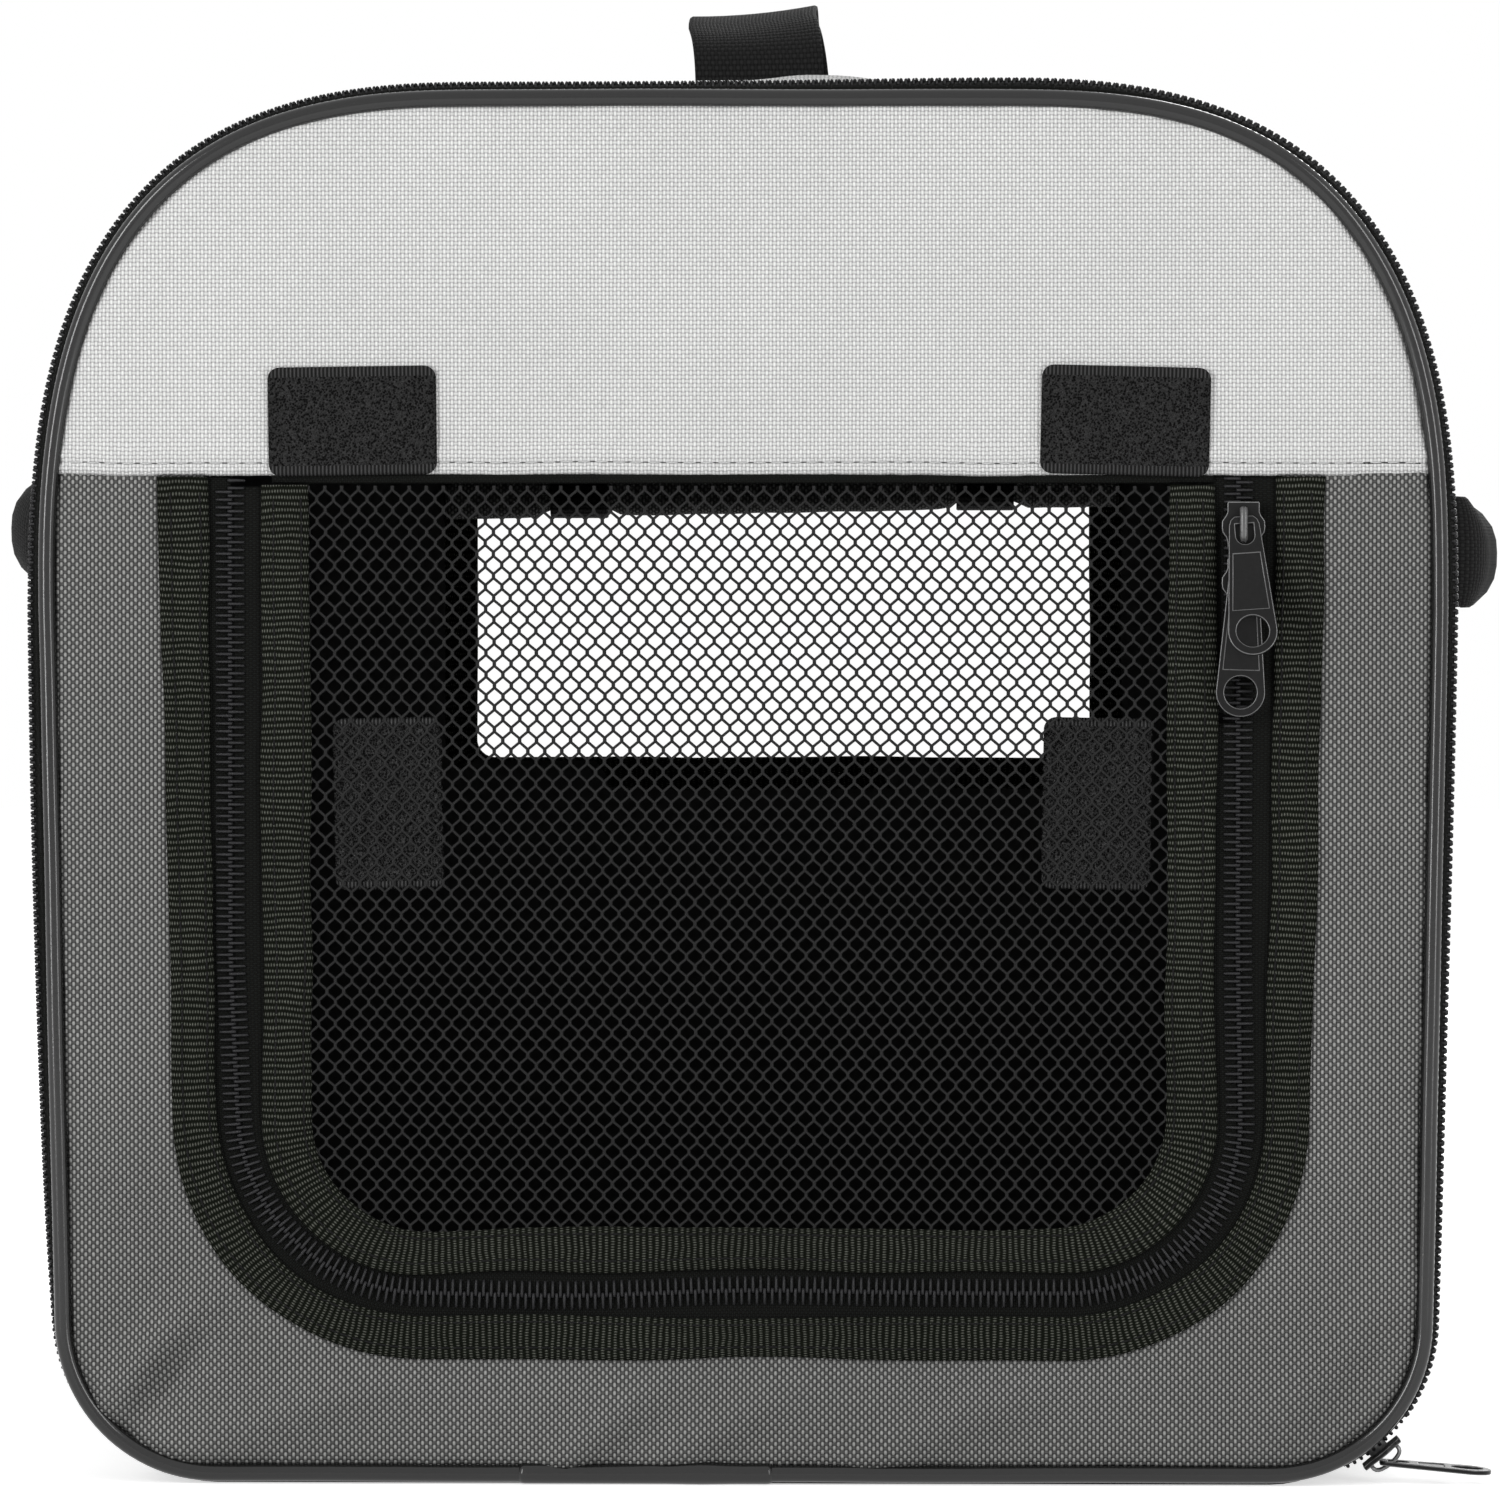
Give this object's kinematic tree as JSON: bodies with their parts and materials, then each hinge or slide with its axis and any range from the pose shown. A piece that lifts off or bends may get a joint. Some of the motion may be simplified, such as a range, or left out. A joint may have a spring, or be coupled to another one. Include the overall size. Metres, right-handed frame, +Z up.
{
  "type": "pet carrier bag",
  "caption": "Soft-sided pet carrier with rounded zipped ends, wire hoops in glossy piping, a U-shaped net door, a rear window and webbing handles.",
  "frame": {"origin": "under the middle of the bag, on the surface it stands on", "axes": "+Z up, -Y out of the front end with the net door, +X to the right seen from the front"},
  "size_m": [0.4732, 0.5647, 0.4376],
  "materials": {
    "light_fabric": "plain weave polyester, matt",
    "dark_fabric": "basket weave polyester, matt",
    "webbing": "ribbed webbing, matt",
    "binding": "ribbed binding tape, matt",
    "zip_tape": "woven zip tape with a nylon coil",
    "net": "knitted diamond net",
    "pile": "hook-and-loop pile",
    "piping": "glossy soft vinyl",
    "lacquer": "black lacquer, worn bright at the edges",
    "spring_steel": "drawn wire",
    "board": "grained sheet",
    "fibreglass": "pultruded rod",
    "fleece": "brushed fleece"
  },
  "bodies": {
    "bag_body": {"floor_panel": "webbing", "left_wall": "dark_fabric", "right_wall": "dark_fabric", "roof_panel": "light_fabric", "left_stiffener": "board", "right_stiffener": "board", "left_spreader_rod": "fibreglass", "right_spreader_rod": "fibreglass", "left_rod_sleeve": "webbing", "right_rod_sleeve": "webbing", "front_zip_body_half": "zip_tape", "rear_zip_body_half": "zip_tape", "top_handle_front_patch": "webbing", "top_handle_rear_patch": "webbing", "left_handle_front_patch": "webbing", "left_handle_rear_patch": "webbing", "right_handle_front_patch": "webbing", "right_handle_rear_patch": "webbing"},
    "front_end": {"front_hoop_wire": "spring_steel", "front_hoop_ferrule": "spring_steel", "front_piping": "piping", "front_piping_sleeve": "piping", "front_upper_panel": "light_fabric", "front_lower_panel": "dark_fabric", "front_zip_end_half": "zip_tape", "door_surround_binding": "binding", "door_zip_outer_half": "zip_tape", "door_zip_parked_end": "zip_tape", "door_hem": "binding", "left_roll_pad": "pile", "right_roll_pad": "pile"},
    "front_door": {"door_net": "net", "door_binding": "binding", "door_zip_inner_half": "zip_tape", "left_door_pad": "pile", "right_door_pad": "pile"},
    "upper_door_slider": {"upper_door_slider": "lacquer"},
    "upper_door_pull": {"upper_door_pull": "lacquer"},
    "lower_door_slider": {"lower_door_slider": "lacquer"},
    "lower_door_pull": {"lower_door_pull": "lacquer"},
    "rear_end": {"rear_hoop_wire": "spring_steel", "rear_hoop_ferrule": "spring_steel", "rear_piping": "piping", "rear_piping_sleeve": "piping", "rear_upper_panel": "light_fabric", "rear_lower_panel": "dark_fabric", "rear_zip_end_half": "zip_tape", "window_binding": "binding", "rolled_flap": "dark_fabric", "left_flap_strap": "webbing", "right_flap_strap": "webbing"},
    "front_zip_slider": {"front_zip_slider": "lacquer"},
    "front_zip_pull": {"front_zip_pull": "lacquer"},
    "rear_zip_slider": {"rear_zip_slider": "lacquer"},
    "rear_zip_pull": {"rear_zip_pull": "lacquer"},
    "top_handle": {"top_handle": "webbing"},
    "left_handle": {"left_handle": "webbing"},
    "right_handle": {"right_handle": "webbing"},
    "base_board": {"base_board": "board"},
    "mat": {"mat": "fleece"}
  },
  "joints": [
    {"name": "front_end_hinge", "type": "hinge", "parent": "bag_body", "child": "front_end", "pos_m": [0, -0.2718, 0.0032], "axis": [1, 0, 0], "range_deg": [0, 86]},
    {"name": "rear_end_hinge", "type": "hinge", "parent": "bag_body", "child": "rear_end", "pos_m": [0, 0.2718, 0.0032], "axis": [-1, 0, 0], "range_deg": [0, 86]},
    {"name": "front_door_hinge", "type": "hinge", "parent": "front_end", "child": "front_door", "pos_m": [0, -0.2753, 0.283], "axis": [-1, 0, 0], "range_deg": [0, 170]},
    {"name": "upper_door_slider_travel", "type": "slide", "parent": "front_end", "child": "upper_door_slider", "axis": [0, 0, -1], "range_m": [0, 0.07]},
    {"name": "lower_door_slider_travel", "type": "slide", "parent": "upper_door_slider", "child": "lower_door_slider", "axis": [0, 0, -1], "range_m": [0, 0.07]},
    {"name": "upper_door_pull_swing", "type": "hinge", "parent": "upper_door_slider", "child": "upper_door_pull", "pos_m": [0.1425, -0.27665, 0.2755], "axis": [-1, 0, 0], "range_deg": [0, 130]},
    {"name": "lower_door_pull_swing", "type": "hinge", "parent": "lower_door_slider", "child": "lower_door_pull", "pos_m": [0.1425, -0.27665, 0.2595], "axis": [-1, 0, 0], "range_deg": [0, 130]},
    {"name": "front_zip_slider_travel", "type": "hinge", "parent": "bag_body", "child": "front_zip_slider", "pos_m": [0.1507, -0.2623, 0.0467], "axis": [0, -1, 0], "range_deg": [0, 38]},
    {"name": "front_zip_pull_swing", "type": "hinge", "parent": "front_zip_slider", "child": "front_zip_pull", "pos_m": [0.18294, -0.2623, 0.00594], "axis": [0, -1, 0], "range_deg": [0, 40]},
    {"name": "rear_zip_slider_travel", "type": "hinge", "parent": "bag_body", "child": "rear_zip_slider", "pos_m": [0.1507, 0.2623, 0.0467], "axis": [0, -1, 0], "range_deg": [0, 38]},
    {"name": "rear_zip_pull_swing", "type": "hinge", "parent": "rear_zip_slider", "child": "rear_zip_pull", "pos_m": [0.18294, 0.2623, 0.00594], "axis": [0, -1, 0], "range_deg": [0, 40]},
    {"name": "top_handle_draw", "type": "slide", "parent": "bag_body", "child": "top_handle", "axis": [0, 0, 1], "range_m": [0, 0.006]},
    {"name": "left_handle_draw", "type": "slide", "parent": "bag_body", "child": "left_handle", "axis": [-1, 0, 0], "range_m": [0, 0.006]},
    {"name": "right_handle_draw", "type": "slide", "parent": "bag_body", "child": "right_handle", "axis": [1, 0, 0], "range_m": [0, 0.006]},
    {"name": "base_board_lift", "type": "slide", "parent": "bag_body", "child": "base_board", "axis": [0, 0, 1], "range_m": [0, 0.1]},
    {"name": "mat_lift", "type": "slide", "parent": "base_board", "child": "mat", "axis": [0, 0, 1], "range_m": [0, 0.1]}
  ],
  "couplings": [
    {"joint": "upper_door_pull_swing", "follows": "lower_door_pull_swing", "ratio": 1}
  ]
}
